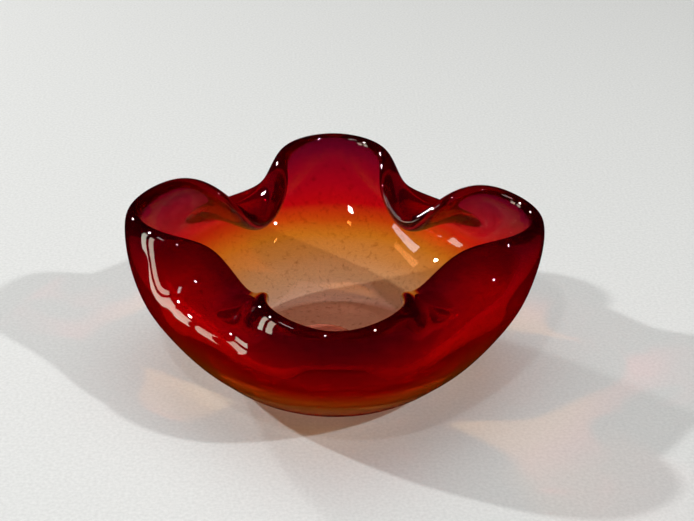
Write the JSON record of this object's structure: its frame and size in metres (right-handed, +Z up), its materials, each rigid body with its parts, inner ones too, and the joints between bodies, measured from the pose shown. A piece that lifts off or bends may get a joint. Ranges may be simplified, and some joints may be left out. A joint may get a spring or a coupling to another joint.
{
  "type": "art glass bowl",
  "caption": "Heavy free-standing art glass bowl with rounded lobes and pinched-in folds, shading from an amber floor through a ruby wall to a plum rim.",
  "frame": {"origin": "middle of the ground foot, on the surface that the bowl stands on", "axes": "+Z up out of the bowl; +X, +Y, -X and -Y run out along the middles of the lobes, with -Y at the front"},
  "size_m": [0.1752, 0.1783, 0.0753],
  "materials": {
    "amber_glass": "clear amber glass, fire polished, with a few fine seeds",
    "ruby_glass": "clear ruby glass, fire polished",
    "plum_glass": "deep plum glass, fire polished"
  },
  "bodies": {
    "root": {"amber_base": "amber_glass", "ruby_wall": "ruby_glass", "plum_rim": "plum_glass"}
  },
  "joints": []
}
